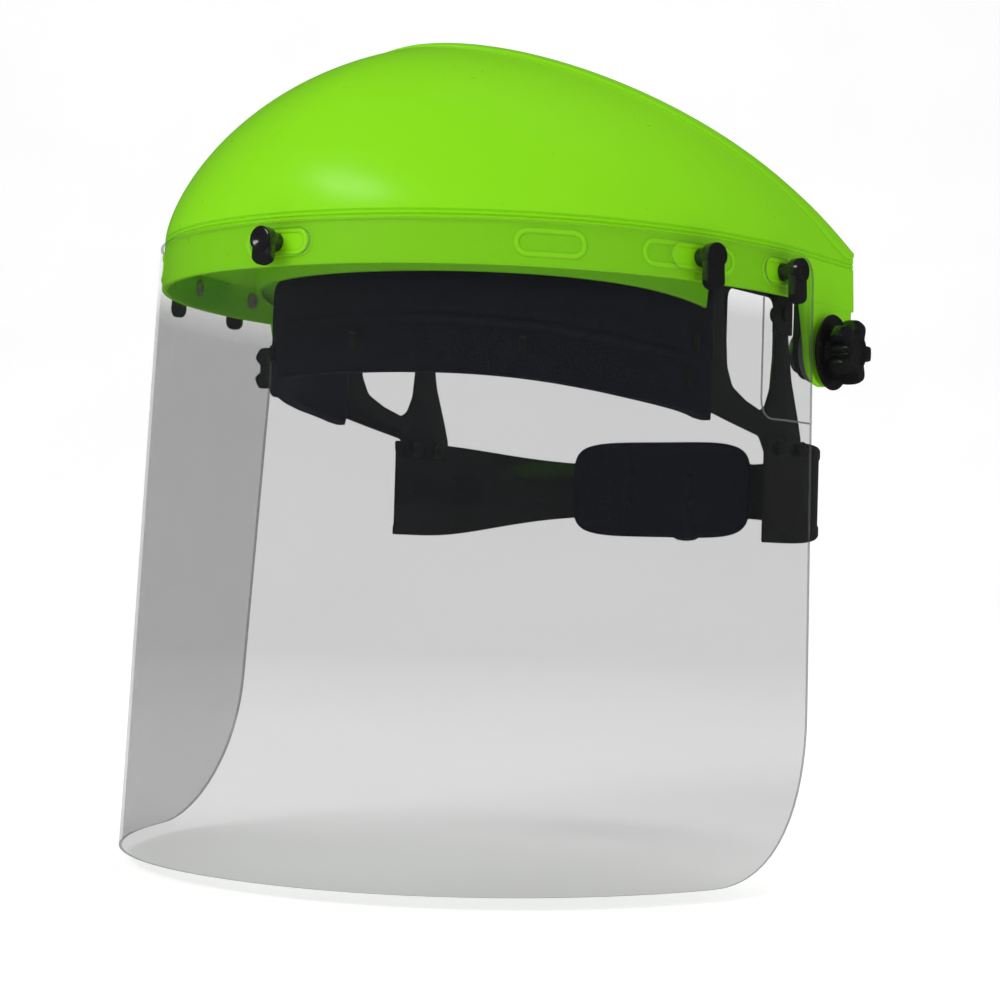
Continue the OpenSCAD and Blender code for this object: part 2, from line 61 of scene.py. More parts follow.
PIVOT_Y, PIVOT_Z = 13, -33      # tilt pivots, counted from the crown's widest point and from its groove
CROWN_W, CROWN_D, PLAN_N = 114.5, 137, 2.1
DOME_H, APEX_Y, WALL_T = 75.2, 11, 2
BAND_H, FLARE, EAR_R = 17, 0.036, 11.5
RIM_Y, RIM_SLOPE, SHELL_END = 39.8, 1 / 1.5, 87.6
BAND_W, BAND_D, BAND_T = 80, 95, 1.6
VISOR_H, VISOR_T, VISOR_GAP, VISOR_TOP, HALF_ARC = 203, 1, 0.35, -3, 197
LATCH_Z = -9.5


# ---------- building meshes ----------

def carried(p):
    """A point in mm, counted from the crown's widest point and its groove, as a point of the frame."""
    return Vector((p[0], p[1] - PIVOT_Y, p[2] - PIVOT_Z)) * MM


def evenly(start, end, n):
    """n + 1 even steps from start to end."""
    return [start + (end - start) * i / n for i in range(n + 1)]


def arc(u, v, r, start, end, n):
    """n + 1 points of an arc about (u, v), between two angles in degrees."""
    return [(u + r * math.cos(t), v + r * math.sin(t)) for t in map(math.radians, evenly(start, end, n))]


def add_loft(bm, loops, caps=True, ring=False):
    """Skins closed loops of points in metres; ring joins the last loop to the first."""
    rows = [[bm.verts.new(p) for p in loop] for loop in loops]
    n = len(rows[0])
    pairs = list(zip(rows, rows[1:])) + ([(rows[-1], rows[0])] if ring else [])
    for a, b in pairs:
        for i in range(n):
            k = (i + 1) % n
            bm.faces.new((a[i], a[k], b[k], b[i]))
    if caps and not ring:
        bm.faces.new(rows[0][::-1])
        bm.faces.new(rows[-1])


def add_lathe(bm, profile, place, segments):
    """Turns a closed profile of (x, radius) in mm about the local X axis."""
    loops = []
    for i in range(segments):
        t = 2 * math.pi * i / segments
        loops.append([place @ (Vector((x, r * math.cos(t), r * math.sin(t))) * MM) for x, r in profile])
    add_loft(bm, loops, ring=True)


def fillet(points, radius, steps=6):
    """A closed outline with each corner rounded."""
    out = []
    for i, corner in enumerate(points):
        p, before, after = Vector(corner), Vector(points[i - 1]), Vector(points[(i + 1) % len(points)])
        u, v = (before - p).normalized(), (after - p).normalized()
        half = max(math.acos(max(-1, min(1, u.dot(v)))) / 2, 1e-3)
        cut = min(radius / math.tan(half), (before - p).length * 0.45, (after - p).length * 0.45)
        a, b = p + u * cut, p + v * cut
        out += [tuple(a.lerp(p, s).lerp(p.lerp(b, s), s)) for s in (j / steps for j in range(steps + 1))]
    return out


def radial(points, centre, n=200):
    """The outline's points on n even rays from centre."""
    out = []
    for i in range(n):
        t = 2 * math.pi * i / n
        d = (math.cos(t), math.sin(t))
        best = 0
        for (ay, az), (by, bz) in zip(points, points[1:] + points[:1]):
            ay, az, by, bz = ay - centre[0], az - centre[1], by - centre[0], bz - centre[1]
            ey, ez = by - ay, bz - az
            det = d[1] * ey - d[0] * ez
            if abs(det) > 1e-12:
                r = (az * ey - ay * ez) / det
                s = (az * d[0] - ay * d[1]) / det
                if -1e-9 <= s <= 1 + 1e-9 and r > best:
                    best = r
        out.append((centre[0] + best * d[0], centre[1] + best * d[1]))
    return out


def toward(points, centre, distance):
    """Every point moved toward centre by distance, or away where it is negative."""
    c = Vector(centre)
    return [tuple(Vector(p) + (c - Vector(p)).normalized() * distance) for p in points]


def add_plate(bm, outer, centre, x0, x1, bevel, place, hole=None):
    """A plate of (y, z) outline from x0 to x1 in mm with rounded rims, and a hole if it is given."""
    side = 1 if x1 > x0 else -1
    steps = [(x0, 1), (x0 + side * bevel * 0.3, 0.3), (x0 + side * bevel, 0), (x1 - side * bevel, 0),
             (x1 - side * bevel * 0.3, 0.3), (x1, 1)]
    loops = [(x, toward(outer, centre, bevel * share)) for x, share in steps]
    if hole:
        loops += [(x, toward(hole, centre, -bevel * share)) for x, share in steps[::-1]]
    rows = [[place @ (Vector((x, y, z)) * MM) for y, z in loop] for x, loop in loops]
    add_loft(bm, rows, caps=not hole, ring=bool(hole))


def inside(p, outline):
    """Whether a flat point lies inside a closed outline."""
    hit = False
    for (ax, ay), (bx, by) in zip(outline, outline[1:] + outline[:1]):
        if (ay > p[1]) != (by > p[1]) and p[0] < (bx - ax) * (p[1] - ay) / (by - ay) + ax:
            hit = not hit
    return hit


def add_sheet(bm, outline, holes, spacing, shape, edge_material=0):
    """A sheet cut to a flat outline with holes; shape(u, v, side) puts a flat point on its face 0 or 1."""
    flat = [Vector(p) for p in outline]
    edges = [(i, (i + 1) % len(outline)) for i in range(len(outline))]
    for hole in holes:
        first = len(flat)
        flat += [Vector(p) for p in hole]
        edges += [(first + i, first + (i + 1) % len(hole)) for i in range(len(hole))]
    low = [min(p[k] for p in outline) for k in (0, 1)]
    high = [max(p[k] for p in outline) for k in (0, 1)]
    count = [max(2, round((high[k] - low[k]) / spacing[k])) for k in (0, 1)]
    for i in range(1, count[0]):
        for j in range(1, count[1]):
            p = Vector(low[k] + (high[k] - low[k]) * (i, j)[k] / count[k] for k in (0, 1))
            near = any((p - q).length < 0.3 * min(spacing) for q in flat[:len(edges)])
            if not near and inside(p, outline) and not any(inside(p, h) for h in holes):
                flat.append(p)
    found, _, faces, *_ = delaunay_2d_cdt(flat, edges, [], 0, 1e-6)
    kept = []
    for face in faces:
        middle = sum((found[i] for i in face), Vector((0, 0))) / len(face)
        if inside(middle, outline) and not any(inside(middle, h) for h in holes):
            kept.append(list(face))
    used = {}
    for face in kept:
        for a, b in zip(face, face[1:] + face[:1]):
            used[(a, b)] = used.get((a, b), 0) + 1
    needed = sorted({i for face in kept for i in face})
    sides = [{i: bm.verts.new(shape(found[i][0], found[i][1], side)) for i in needed} for side in (0, 1)]
    for face in kept:
        bm.faces.new([sides[1][i] for i in face])
        bm.faces.new([sides[0][i] for i in reversed(face)])
    for a, b in used:
        if (b, a) not in used:
            bm.faces.new((sides[1][b], sides[1][a], sides[0][a], sides[0][b])).material_index = edge_material


def piece(name, bm, body, materials, stands_for=(), sharp=38, ride=True):
    """A finished object from bm, riding on a CAD body and standing for CAD nodes."""
    bmesh.ops.remove_doubles(bm, verts=bm.verts, dist=1e-6)
    bmesh.ops.recalc_face_normals(bm, faces=bm.faces)
    mesh = bpy.data.meshes.new(name)
    bm.to_mesh(mesh)
    bm.free()
    for p in mesh.polygons:
        p.use_smooth = True
    mesh.set_sharp_from_angle(angle=math.radians(sharp))
    for m in materials if isinstance(materials, (list, tuple)) else [materials]:
        mesh.materials.append(m)
    obj = bpy.data.objects.new(name, mesh)
    bpy.context.scene.collection.objects.link(obj)
    if ride:
        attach(obj, body)
    if stands_for:
        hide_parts(*stands_for)
    return obj


def both_sides():
    """Left and right, each with its name, its sign and the mirror that makes it."""
    return (("left", 1, Matrix.Identity(4)), ("right", -1, Matrix.Scale(-1, 4, (1, 0, 0))))


# ---------- materials ----------

class Nodes:
    """A new material and short ways to add nodes to it."""

    def __init__(self, name):
        self.material = bpy.data.materials.new(name)
        self.material.use_nodes = True
        self.tree = self.material.node_tree
        self.shader = self.tree.nodes["Principled BSDF"]
        self.place = self.tree.nodes.new("ShaderNodeTexCoord").outputs["Object"]

    def set(self, **values):
        for key, value in values.items():
            self.shader.inputs[key.replace("_", " ")].default_value = value

    def link(self, a, b):
        self.tree.links.new(a, b)

    def noise(self, scale, detail=3, rough=0.5, stretch=(1, 1, 1)):
        mapping = self.tree.nodes.new("ShaderNodeMapping")
        mapping.inputs["Scale"].default_value = stretch
        node = self.tree.nodes.new("ShaderNodeTexNoise")
        node.inputs["Scale"].default_value = scale
        node.inputs["Detail"].default_value = detail
        node.inputs["Roughness"].default_value = rough
        self.link(self.place, mapping.inputs["Vector"])
        self.link(mapping.outputs["Vector"], node.inputs["Vector"])
        return node.outputs["Fac"]

    def cells(self, scale):
        node = self.tree.nodes.new("ShaderNodeTexVoronoi")
        node.inputs["Scale"].default_value = scale
        self.link(self.place, node.inputs["Vector"])
        return node.outputs["Distance"]

    def ramp(self, value, stops):
        node = self.tree.nodes.new("ShaderNodeValToRGB")
        node.color_ramp.elements[0].position, node.color_ramp.elements[0].color = stops[0]
        node.color_ramp.elements[1].position, node.color_ramp.elements[1].color = stops[-1]
        for at, colour in stops[1:-1]:
            node.color_ramp.elements.new(at).color = colour
        self.link(value, node.inputs["Fac"])
        return node.outputs["Color"]

    def spread(self, value, low, high, start=0.3, end=0.7):
        node = self.tree.nodes.new("ShaderNodeMapRange")
        for key, number in (("From Min", start), ("From Max", end), ("To Min", low), ("To Max", high)):
            node.inputs[key].default_value = number
        self.link(value, node.inputs["Value"])
        return node.outputs["Result"]

    def bump(self, value, distance, strength=1.0, under=None):
        node = self.tree.nodes.new("ShaderNodeBump")
        node.inputs["Strength"].default_value = strength
        node.inputs["Distance"].default_value = distance
        self.link(value, node.inputs["Height"])
        if under:
            self.link(under, node.inputs["Normal"])
        return node.outputs["Normal"]

    def socket(self, name, value):
        self.link(value, self.shader.inputs[name])


def tone(colour, share):
    return tuple(min(1, c * share) for c in colour) + (1,)


def moulded(name, colour, rough, spread, grain, mottle, coat=0.0, coat_rough=0.06, specular=0.5, ripple=0.10):
    """Moulded plastic: a slight mottle, uneven polish, fine grain and long soft sink marks."""
    m = Nodes(name)
    m.set(Coat_Weight=coat, Coat_Roughness=coat_rough, Specular_IOR_Level=specular)
    flow = m.noise(22, 4, 0.55)
    m.socket("Base Color", m.ramp(flow, [(0.3, tone(colour, 1 - mottle)), (0.7, tone(colour, 1 + mottle))]))
    m.socket("Roughness", m.spread(m.noise(160, 6, 0.65), rough - spread, rough + spread))
    fine = m.bump(m.noise(2600, 2, 0.6), grain * MM, 0.5)
    m.socket("Normal", m.bump(m.noise(34, 2, 0.4), ripple * MM, 0.35, under=fine))
    return m.material


def metal(name, colour, rough, metallic=1.0):
    m = Nodes(name)
    m.set(Metallic=metallic)
    wear = m.noise(500, 5, 0.7)
    m.socket("Base Color", m.ramp(wear, [(0.3, tone(colour, 0.75)), (0.7, tone(colour, 1.15))]))
    m.socket("Roughness", m.spread(m.noise(900, 5, 0.7), rough - 0.08, rough + 0.12))
    m.socket("Normal", m.bump(m.noise(1800, 3), 0.02 * MM, 0.5))
    return m.material


def terry(name, colour):
    """Brushed terry cloth: looped pile, a soft nap that lies in patches, and lint."""
    m = Nodes(name)
    m.set(Roughness=0.98, Specular_IOR_Level=0.08)
    m.set(Sheen_Weight=0.05, Sheen_Roughness=0.4, Sheen_Tint=(0.3, 0.36, 0.6, 1))
    nap = m.noise(900, 4, 0.65)
    stops = [(0.25, tone(colour, 0.6)), (0.55, tone(colour, 1.0)), (0.8, tone(colour, 1.6))]
    m.socket("Base Color", m.ramp(nap, stops))
    pile = m.bump(m.cells(2600), 0.12 * MM, 0.6)
    m.socket("Normal", m.bump(m.noise(700, 4, 0.7), 0.2 * MM, 0.5, under=pile))
    return m.material


def clear_sheet(name, grey, alpha, rough, alpha_top=None):
    """Clear polycarbonate with fine wiping marks, under a see-through painted grey: painted shade on the
    visor's face, whose opacity may fade up to the band, and a painted line of highlight and shade on its cut
    edges.
    """
    m = Nodes(name)
    m.set(IOR=1.58, Alpha=alpha, Specular_IOR_Level=0.5)
    if alpha_top is not None:
        split = m.tree.nodes.new("ShaderNodeSeparateXYZ")
        m.link(m.place, split.inputs["Vector"])
        # The painted shade of the grey veil thins out up over the band.
        m.socket("Alpha", m.spread(split.outputs["Z"], alpha, alpha_top, 0.006, 0.017))
    m.socket("Base Color", m.ramp(m.noise(14, 3), [(0.3, tone(grey, 0.93)), (0.7, tone(grey, 1.07))]))
    m.socket("Roughness", m.spread(m.noise(70, 6, 0.7, (1, 1, 0.15)), rough, rough + 0.05))
    return m.material


LIME = (0.198, 0.585, 0.005)
lime = moulded("lime_plastic", LIME, 0.3, 0.03, 0.012, 0.012,
               coat=0.05, coat_rough=0.2, specular=0.22, ripple=0.03)
black_gloss = moulded("black_gloss", (0.007, 0.007, 0.008), 0.22, 0.07, 0.02, 0.25, coat=0.6, coat_rough=0.05)
black_satin = moulded("black_satin", (0.010, 0.010, 0.011), 0.46, 0.08, 0.05, 0.2)
washer_grey = moulded("washer_grey", (0.09, 0.09, 0.095), 0.5, 0.08, 0.04, 0.12)
white_nylon = moulded("white_nylon", (0.72, 0.70, 0.64), 0.4, 0.06, 0.03, 0.04)
rivet_metal = metal("rivet_metal", (0.42, 0.39, 0.35), 0.3, 0.55)
bolt_steel = metal("bolt_steel", (0.58, 0.57, 0.55), 0.3)
brass = metal("brass", (0.72, 0.5, 0.2), 0.3)
navy = terry("navy_cloth", (0.003, 0.0045, 0.012))
# The visor's dark see-through grey is painted shade over what shows through the clear sheet, made thinner
# over the band.
visor_face = clear_sheet("visor_face", (0.02, 0.021, 0.022), 0.235, 0.03, 0.07)
# The paler, denser grey on the visor's cut edges and its score line is a painted line of highlight and shade.
visor_edge_painted_light = clear_sheet("visor_edge_painted_light", (0.16, 0.165, 0.17), 0.62, 0.15)


# ---------- the crown's surface ----------

def half_w(y, g):
    """Half width of the crown's plan at station y, grown by g."""
    if y >= 0:
        return CROWN_W + g
    return (CROWN_W + g) * max(0, 1 - (-y / (CROWN_D + g)) ** PLAN_N) ** (1 / PLAN_N)


def ridge(y, g):
    """Height of the dome's ridge at station y."""
    if y >= APEX_Y:
        return DOME_H + g - 0.0125 * (y - APEX_Y) ** 2
    return (DOME_H + g) * max(0, 1 - ((APEX_Y - y) / (CROWN_D + g + APEX_Y)) ** 2.2) ** (1 / 2.2)


def dome_z(x, y, g):
    w = half_w(y, g)
    return 0 if abs(x) >= w else ridge(y, g) * (1 - (abs(x) / w) ** 1.766) ** (1 / 1.54)


def reach(a, s, g):
    """Distance from the rim's corner line to the dome, on the ray at angle a in the plane climbing by s."""
    sine, cosine = math.sin(math.radians(a)), math.cos(math.radians(a))
    low, high = 0, 220
    for _ in range(22):
        m = (low + high) / 2
        if dome_z(m * sine, RIM_Y - m * cosine, g) > m * cosine * s:
            low = m
        else:
            high = m
    return low


def dome_point(a, s, g):
    r, t = reach(a, s, g), math.radians(a)
    return (r * math.sin(t), RIM_Y - r * math.cos(t), r * math.cos(t) * s)


def wall_point(a, z, g):
    r, t = reach(a, 0, g - FLARE * z), math.radians(a)
    return (r * math.sin(t), RIM_Y - r * math.cos(t), z)


def hug_point(a, g, z):
    """Point where the ray at angle a leaves the headband's plan grown by g."""
    t = math.radians(a)
    low, high = 0, 200
    for _ in range(20):
        m = (low + high) / 2
        x, y = m * math.sin(t), RIM_Y - m * math.cos(t)
        if (x / (BAND_W + g)) ** 2 + (min(y, 0) / (BAND_D + g)) ** 2 < 1:
            low = m
        else:
            high = m
    return (low * math.sin(t), RIM_Y - low * math.cos(t), z)


ARC_STEP = 0.25
ARC_ANGLES = [ARC_STEP * i for i in range(round(SHELL_END / ARC_STEP) + 1)]
ARC_POINTS = [Vector(wall_point(a, LATCH_Z, 0)) for a in ARC_ANGLES]
ARC_LENGTHS = [0]
for p, q in zip(ARC_POINTS, ARC_POINTS[1:]):
    ARC_LENGTHS.append(ARC_LENGTHS[-1] + (q - p).length)


def arc_angle(u):
    """Angle of the ray at distance u round the band from its middle."""
    i = min(max(bisect.bisect(ARC_LENGTHS, abs(u)) - 1, 0), len(ARC_LENGTHS) - 2)
    share = (abs(u) - ARC_LENGTHS[i]) / (ARC_LENGTHS[i + 1] - ARC_LENGTHS[i])
    return math.copysign(ARC_ANGLES[i] + ARC_STEP * share, u)


# ---------- crown ----------

GROOVES = (-0.55, -1.95)        # levels of the two fine grooves under the dome
GROOVE_DEPTH = 0.45
RIM_BEAD_W, RIM_BEAD_H = 8.2, 0.85
RING_H, RING_R = 9, 0.9       # height of the band's raised rings, and the radius of their bead
# Raised rings, as distances round the band from its middle
RINGS = ((77.5, 100.8), (119.6, 157.5), (170.8, 195))


def wall_profile():
    """(level, growth) of the band's outside from its foot to the groove."""
    foot = -BAND_H
    rows = [(foot, -1.0), (foot, -0.45), (foot + 0.15, -0.12), (foot + 0.5, 0), (foot + 1.2, 0)]
    rows += [(level, 0) for level in evenly(foot + 2, -4.25, 5)]
    for level in sorted(GROOVES):
        rows += [(level - 0.5, 0), (level - 0.2, -0.7 * GROOVE_DEPTH), (level, -GROOVE_DEPTH),
                 (level + 0.2, -0.7 * GROOVE_DEPTH), (level + 0.5, 0)]
    return rows


def crown_loop(a):
    rows = 44
    outer = [wall_point(a, z, g) for z, g in wall_profile()]
    outer += [dome_point(a, RIM_SLOPE * (j / rows) ** 1.3, 0) for j in range(rows + 1)]
    inner = [dome_point(a, RIM_SLOPE * (j / 16) ** 1.3, -WALL_T) for j in range(16, -1, -1)]
    inner += [wall_point(a, z, -WALL_T) for z in (-4, -8, -12, -BAND_H + 0.6)]
    inner += [wall_point(a, -BAND_H + 0.15, 0.15 - WALL_T), wall_point(a, -BAND_H, 0.5 - WALL_T)]
    return [carried(p) for p in outer + inner]


def add_rim_bead(bm):
    """The rounded bead along the rear rim, with rounded ends at the rear corners."""
    loops = []
    for a in evenly(-SHELL_END, SHELL_END, 220):
        p = Vector(dome_point(a, RIM_SLOPE, 0))
        before, after = max(a - 0.4, -SHELL_END), min(a + 0.4, SHELL_END)
        along = Vector(dome_point(after, RIM_SLOPE, 0)) - Vector(dome_point(before, RIM_SLOPE, 0))
        along.normalize()
        ahead = Vector(dome_point(a, RIM_SLOPE - 0.03, 0)) - p
        ahead = (ahead - along * ahead.dot(along)).normalized()
        out = along.cross(ahead)
        out *= 1 if out.z > 0 else -1
        width = RIM_BEAD_W * min(1, 0.35 + 0.65 * math.sqrt(min(1, (SHELL_END - abs(a)) / 5)))
        loop = []
        for k in range(28):
            t = 2 * math.pi * k / 28
            c, s = math.cos(t), math.sin(t)
            forward = width / 2 - 0.5 + (width / 2) * math.copysign(abs(c) ** 0.55, c)
            height = -0.6 + (RIM_BEAD_H + 0.6) * math.copysign(abs(s) ** 0.55, s)
            loop.append(carried(p + ahead * forward + out * height))
        loops.append(loop)
    add_loft(bm, loops)


def add_ring(bm, start, end):
    """A raised ring on the band: a half-sunk bead along an oblong."""
    r = RING_H / 2 - RING_R
    first, last = start + RING_R + r, end - RING_R - r
    path = arc(first, 0, r, 90, 270, 24) + [(u, -r) for u in evenly(first, last, 12)[1:-1]]
    path += arc(last, 0, r, -90, 90, 24) + [(u, r) for u in evenly(last, first, 12)[1:-1]]
    loops = []
    for i, (u, v) in enumerate(path):
        before, after = path[i - 1], path[(i + 1) % len(path)]
        tangent = Vector((after[0] - before[0], after[1] - before[1])).normalized()
        loop = []
        for k in range(10):
            t = 2 * math.pi * k / 10
            off, height = 1.15 * RING_R * math.cos(t), 0.62 * RING_R * math.sin(t) - 0.05
            du, dv = u - tangent.y * off, v + tangent.x * off
            loop.append(carried(wall_point(arc_angle(du), LATCH_Z + dv, height)))
        loops.append(loop)
    add_loft(bm, loops, ring=True)


GUARD_END, GUARD_GAP = 56.3, 6      # angle at which the inner guard ends, and its gap from the headband
GUARD_FOOT, GUARD_DROP = -14.5, 5.5


def add_guard(bm):
    """Inner guard between the crown and the headband."""
    loops = []
    for a in evenly(-GUARD_END, GUARD_END, 120):
        foot = GUARD_FOOT - GUARD_DROP * (abs(a) / GUARD_END) ** 4
        g = GUARD_GAP
        points = [hug_point(a, g + 2, foot + 0.6), hug_point(a, g + 3.5, -9)]
        points += [wall_point(a, level, -WALL_T / 2) for level in (-4.6, -2.6)]
        points += [hug_point(a, g + 1.5, -7), hug_point(a, g, foot + 0.6)]
        points += [hug_point(a, g + 0.35, foot), hug_point(a, g + 1.65, foot)]
        loops.append([carried(p) for p in points])
    add_loft(bm, loops)


def add_ear(bm, mirror):
    """Ear that hangs from the band's rear end and carries the tilt pivot."""
    outline = [(-3.5, -BAND_H + 2), (33.6, -BAND_H + 2), (33.4, -24), (31.5, -29)]
    outline += [(PIVOT_Y + 18.5 * math.cos(t) - 3 * math.cos(t) ** 2, PIVOT_Z + EAR_R * math.sin(t))
                for t in (math.radians(-12 - 6 * i) for i in range(14))]
    outline += arc(PIVOT_Y, PIVOT_Z, EAR_R, -96, -180, 14)
    centre = (PIVOT_Y + 3, -26)
    place = mirror @ Matrix.Translation(carried((0, 0, 0)))
    add_plate(bm, radial(fillet(outline, 1.5), centre), centre, CROWN_W - WALL_T, CROWN_W + 0.5, 0.45, place)


def build_crown():
    bm = bmesh.new()
    add_loft(bm, [crown_loop(a) for a in evenly(-SHELL_END, SHELL_END, 300)])
    add_rim_bead(bm)
    for start, end in RINGS:
        add_ring(bm, start, end)
        add_ring(bm, -end, -start)
    add_ring(bm, -12.5, 12.5)
    add_guard(bm)
    for _, _, mirror in both_sides():
        add_ear(bm, mirror)
    return piece("crown_dome", bm, "crown", lime, ["crown_shell"], sharp=42)


# ---------- latches ----------

# Side (1 left, -1 right, 0 centre), station, and the way that its slot runs
LATCHES = {
    "latch_left_rear": (1, -17.5, -1), "latch_left_front": (1, -57, -1), "latch_centre": (0, -CROWN_D, 1),
    "latch_right_front": (-1, -57, 1), "latch_right_rear": (-1, -17.5, 1),
}
SHANK_D, LATCH_OUT, TAB_L = 6, 8.2, 11
TAB_W = SHANK_D + 1.4


def latch_place(side, station):
    """Carries a shape drawn in metres with X outward and Z up to a latch's place on the band."""
    g = -FLARE * LATCH_Z
    if side == 0:
        at, turn = (0, -CROWN_D - g, LATCH_Z), -90
    else:
        at = (side * half_w(station, g), station, LATCH_Z)
        nx = (half_w(station, 0) / CROWN_W) ** (PLAN_N - 1) / CROWN_W
        ny = -(-station / CROWN_D) ** (PLAN_N - 1) / CROWN_D
        turn = math.degrees(math.atan2(ny, side * nx))
    lean = Matrix.Rotation(-math.atan(FLARE), 4, "Y")
    return Matrix.Translation(carried(at)) @ Matrix.Rotation(math.radians(turn), 4, "Z") @ lean


def build_latch(name, side, station):
    """A twist latch: waisted shank, dished round head and hanging tab."""
    bm = bmesh.new()
    place = latch_place(side, station)
    drop = TAB_L - 3 if side == 0 else TAB_L
    r = SHANK_D / 2
    face, head = LATCH_OUT, TAB_W / 2 + 0.4
    shank = [(0.1, 0), (0.1, r), (0.5, r), (1.1, r - 0.3), (face - 5.2, r - 0.3), (face - 4.6, r)]
    rim = [(face - 4.2, head - 0.5), (face - 3.8, head - 0.08), (face - 3.2, head), (face - 1.0, head),
           (face - 0.35, head - 0.2), (face - 0.05, head - 0.65), (face, head - 1.1)]
    dish = [(face - 0.3, head - 1.8), (face - 0.75, 0.9), (face - 0.8, 0)]
    add_lathe(bm, shank + rim + dish, place, 48)
    half = TAB_W / 2
    outline = [(-half + 0.5, 1.5), (half - 0.5, 1.5), (half - 0.15, -2)]
    for x, z in arc(0, 0, 1, 0, -180, 20):
        draft = 1 if abs(x) < 0.97 else 0.99
        outline.append((half * x * draft, half * 0.8 * (1 + z) - drop))
    outline.append((-half + 0.15, -2))
    centre = (0, -drop / 2 + 0.5)
    add_plate(bm, radial(fillet(outline, 0.8), centre, 96), centre, face - 4.2, face - 0.8, 0.75, place)
    return piece(name + "_twist", bm, name, black_gloss, [name])


def build_rivets():
    """Hollow domed rivet heads inside the band, one behind each latch."""
    bm = bmesh.new()
    for side, station, _ in LATCHES.values():
        x = -WALL_T
        head = [(x - 0.02, 1.2), (x - 0.02, 3.1), (x - 0.3, 3.08), (x - 0.75, 2.75), (x - 1.05, 2.1),
                (x - 1.1, 1.5)]
        hollow = [(x - 1.0, 1.1), (x - 0.6, 0.9), (x - 0.4, 0)]
        shank = [(3.4, 0), (3.4, 1.9), (x + 0.1, 1.9), (x + 0.1, 1.2)]
        add_lathe(bm, head + hollow + shank, latch_place(side, station), 40)
    return piece("latch_rivet_heads", bm, "crown", rivet_metal, ["latch_rivets"])


# ---------- visor ----------

REAR_TOP, REAR_FOOT = 71.85, 68.7
LOWER_R, UPPER_R = 52, 8
SLOT_W = SHANK_D + 2.6
SCORE_U, SCORE_V = 161, 55      # where the score line's upright and level stretches would meet
SCORE_BEND, SCORE_R = 6, 0.22


def visor_point(u, v, g):
    """Point of the visor at distance u round it from the middle and v below its top edge, grown by g."""
    f = u / HALF_ARC
    top = Vector(wall_point(REAR_TOP * f, VISOR_TOP, g))
    foot = Vector(wall_point(REAR_FOOT * f, VISOR_TOP - VISOR_H, g))
    return top.lerp(foot, v / VISOR_H)


def visor_outline():
    """The flat visor's outline with its four round corners, as points about 4 mm apart."""
    out = arc(HALF_ARC - UPPER_R, UPPER_R, UPPER_R, -90, 0, 16)
    out += arc(HALF_ARC - LOWER_R, VISOR_H - LOWER_R, LOWER_R, 0, 90, 16)
    out += arc(LOWER_R - HALF_ARC, VISOR_H - LOWER_R, LOWER_R, 90, 180, 16)
    out += arc(UPPER_R - HALF_ARC, UPPER_R, UPPER_R, 180, 270, 16)
    filled = []
    for p, q in zip(out, out[1:] + out[:1]):
        n = max(1, round(math.dist(p, q) / 4))
        filled += [(p[0] + (q[0] - p[0]) * i / n, p[1] + (q[1] - p[1]) * i / n) for i in range(n)]
    return filled


def slot_outline(side, station, way):
    """Keyhole that a latch's tab passes through when it is turned level."""
    v = VISOR_TOP - LATCH_Z
    low, high = 0, HALF_ARC
    for _ in range(24):
        m = (low + high) / 2
        if visor_point(m, v, 0)[1] < station:
            low = m
        else:
            high = m
    u = side * low
    far = u + way * (TAB_L + 1 - SLOT_W / 2)
    return arc(max(u, far), v, SLOT_W / 2, -90, 90, 12) + arc(min(u, far), v, SLOT_W / 2, 90, 270, 12)


def build_visor():
    bm = bmesh.new()
    cache = {}

    def shape(u, v, side):
        key = (round(u, 4), side)
        if key not in cache:
            g = VISOR_GAP + VISOR_T * side
            cache[key] = (visor_point(u, 0, g), visor_point(u, VISOR_H, g))
        return carried(cache[key][0].lerp(cache[key][1], v / VISOR_H))

    slots = [slot_outline(*latch) for latch in LATCHES.values()]
    add_sheet(bm, visor_outline(), slots, (4, 7), shape, edge_material=1)
    return piece("clear_visor", bm, "crown", [visor_face, visor_edge_painted_light], ["visor"], sharp=30)


def build_score_line():
    """Fine moulded line that marks off the visor's upper rear corner."""
    bend_u, bend_v = SCORE_U + SCORE_BEND, SCORE_V - SCORE_BEND
    path = [(SCORE_U, v) for v in evenly(16, bend_v, 16)]
    path += arc(bend_u, bend_v, SCORE_BEND, 180, 90, 6)[1:]
    path += [(u, SCORE_V) for u in evenly(bend_u, HALF_ARC - 2, 16)[1:]]
    bm = bmesh.new()
    g = VISOR_GAP + VISOR_T
    points = [visor_point(u, v, g) for u, v in path]
    loops = []
    for i, p in enumerate(points):
        along = (points[min(i + 1, len(points) - 1)] - points[max(i - 1, 0)]).normalized()
        out = (visor_point(*path[i], g + 1) - p).normalized()
        side = along.cross(out)
        loops.append([carried(p + side * a + out * b * 0.7 / 1.6)
                      for a, b in arc(0, 0, 1.6 * SCORE_R, 0, 360, 8)[:-1]])
    add_loft(bm, loops)
    # The score line shows as a painted line of highlight and shade.
    return piece("visor_score_line", bm, "crown", visor_edge_painted_light)


# ---------- headband and sweatband ----------

BAND_TOP, PLATE_TOP = -12, -3.5
ARM_X, ARM_T, ARM_W = 107.5, 2.5, 18
SWEEP_END = 88
PLATE = [(-14, PLATE_TOP), (55, PLATE_TOP), (55.5, -22), (59, -38), (65, -52), (68, -60), (66, -66),
         (42, -66), (37, -59.5), (15, -56), (-14, -51)]
WINDOW = [(9, -9.5), (45.6, -9.5), (45.6, -30), (44, -42), (40.5, -48.5), (36, -50.5), (24, -47.5),
          (14, -43.5), (10, -37), (9, -28)]
# Angle round the brow and level of each peg that holds the sweatband
PEGS = [(0, -36), (39, -37), (-39, -37), (81, -30.5), (-81, -30.5), (79, -43.5), (-79, -43.5)]


def brow_foot(t):
    return -46 - 8 * math.sin(math.radians(t)) ** 4 - 2.5 * abs(t / 88) ** 16


def brow(t, g, z):
    t = math.radians(t)
    return ((BAND_W + g) * math.sin(t), -(BAND_D + g) * math.cos(t), z)


